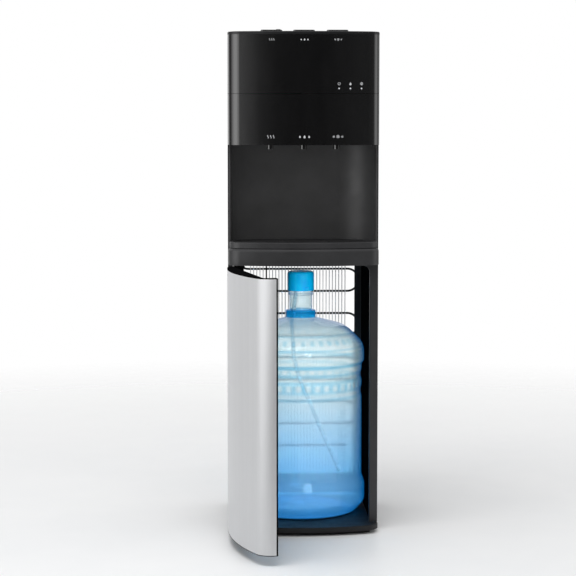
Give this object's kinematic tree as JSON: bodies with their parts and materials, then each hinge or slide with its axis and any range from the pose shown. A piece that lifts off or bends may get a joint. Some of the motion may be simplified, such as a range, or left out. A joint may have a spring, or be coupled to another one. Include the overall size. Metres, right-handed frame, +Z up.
{
  "type": "bottom loading water dispenser",
  "caption": "Floor-standing water dispenser with a bowed black front, three taps in an alcove, a lift-out drip tray and a hinged steel door over a bottle bay.",
  "frame": {"origin": "on the floor, at the middle of the cabinet's footprint", "axes": "+Z up, -Y to the front, +X to the right as seen from the front"},
  "size_m": [0.3119, 0.613, 1.0377],
  "materials": {
    "black_plastic": "satin",
    "gloss_black": "gloss",
    "grille_black": "matt",
    "painted_sheet": "satin",
    "inner_black": "matt",
    "brushed_steel": "brushed",
    "stainless": "satin",
    "galvanised": "satin",
    "black_steel": "gloss",
    "pale_wire": "satin",
    "spring_steel": "polished",
    "blue_bottle": "gloss",
    "blue_cap": "satin",
    "clear_tube": "satin",
    "foam": "matt",
    "copper": "satin",
    "rubber_black": "matt",
    "white_plastic": "satin",
    "red_plastic": "gloss",
    "circuit_board": "satin",
    "light_lens": "gloss"
  },
  "bodies": {
    "cabinet": {"base_tray": "black_plastic", "left_side_panel": "painted_sheet", "right_side_panel": "painted_sheet", "left_inner_liner": "inner_black", "right_inner_liner": "inner_black", "door_frame": "black_plastic", "mid_deck": "galvanised", "rear_frame": "painted_sheet", "rear_upper_cover": "painted_sheet", "rear_screws": "spring_steel", "front_fascia": "black_plastic", "alcove_liner": "black_plastic", "nozzle_plate": "black_plastic", "lower_front_cover": "gloss_black", "control_panel": "gloss_black", "indicator_lights": "light_lens", "top_cover": "black_plastic", "switch_board": "circuit_board", "spouts": "gloss_black", "tap_valves": "white_plastic", "cold_tank": "stainless", "evaporator_coil": "copper", "cold_tank_foam": "foam", "hot_tank": "stainless", "hot_tank_jacket": "foam", "band_heater": "stainless", "hot_tank_stand": "galvanised", "compressor": "black_steel", "compressor_mounts": "rubber_black", "start_relay": "black_plastic", "condenser_tube": "black_steel", "condenser_wires": "pale_wire", "condenser_brackets": "black_steel", "suction_riser": "black_steel", "filter_drier": "copper", "water_pump": "black_plastic", "control_board": "circuit_board", "cord_gland": "rubber_black", "power_switch_bodies": "black_plastic", "drain_spout": "white_plastic", "bottle": "blue_bottle", "bottle_cap": "blue_cap", "dip_tube": "clear_tube", "hinge_pins": "spring_steel", "hot_button_spring": "spring_steel", "room_button_spring": "spring_steel", "cold_button_spring": "spring_steel"},
    "door": {"door_skin": "brushed_steel", "door_core": "inner_black", "door_inner_panel": "black_plastic"},
    "hot_button": {"hot_button": "gloss_black"},
    "room_button": {"room_button": "gloss_black"},
    "cold_button": {"cold_button": "gloss_black"},
    "child_lock": {"child_lock": "black_plastic"},
    "drip_tray": {"drip_tray": "black_plastic"},
    "drip_grille": {"drip_grille": "grille_black"},
    "hot_power_rocker": {"hot_power_rocker": "red_plastic"},
    "cold_power_rocker": {"cold_power_rocker": "black_plastic"},
    "drain_cap": {"drain_cap": "white_plastic"}
  },
  "joints": [
    {"name": "door_swing", "type": "hinge", "parent": "cabinet", "child": "door", "pos_m": [-0.143, -0.143, 0.02], "axis": [0, 0, -1], "range_deg": [-78.2, 37]},
    {"name": "hot_button_press", "type": "slide", "parent": "cabinet", "child": "hot_button", "axis": [0, 0, -1], "range_m": [0, 0.003], "stiffness_N_per_m": 300, "springref_m": -0.003, "deforming": ["hot_button_spring"]},
    {"name": "room_button_press", "type": "slide", "parent": "cabinet", "child": "room_button", "axis": [0, 0, -1], "range_m": [0, 0.003], "stiffness_N_per_m": 300, "springref_m": -0.003, "deforming": ["room_button_spring"]},
    {"name": "cold_button_press", "type": "slide", "parent": "cabinet", "child": "cold_button", "axis": [0, 0, -1], "range_m": [0, 0.003], "stiffness_N_per_m": 300, "springref_m": -0.003, "deforming": ["cold_button_spring"]},
    {"name": "child_lock_slide", "type": "slide", "parent": "hot_button", "child": "child_lock", "axis": [0, 1, 0], "range_m": [0, 0.004]},
    {"name": "drip_tray_lift", "type": "slide", "parent": "cabinet", "child": "drip_tray", "axis": [0, 0, 1], "range_m": [0, 0.08]},
    {"name": "drip_grille_lift", "type": "slide", "parent": "drip_tray", "child": "drip_grille", "axis": [0, 0, 1], "range_m": [0, 0.03]},
    {"name": "hot_power_switch", "type": "hinge", "parent": "cabinet", "child": "hot_power_rocker", "pos_m": [0.092, 0.157, 0.93], "axis": [-1, 0, 0], "range_deg": [0, 18]},
    {"name": "cold_power_switch", "type": "hinge", "parent": "cabinet", "child": "cold_power_rocker", "pos_m": [0.122, 0.157, 0.93], "axis": [-1, 0, 0], "range_deg": [0, 18]},
    {"name": "drain_cap_turn", "type": "hinge", "parent": "cabinet", "child": "drain_cap", "pos_m": [0.11, 0.165, 0.65], "axis": [0, 1, 0], "range_deg": [0, 360]}
  ]
}
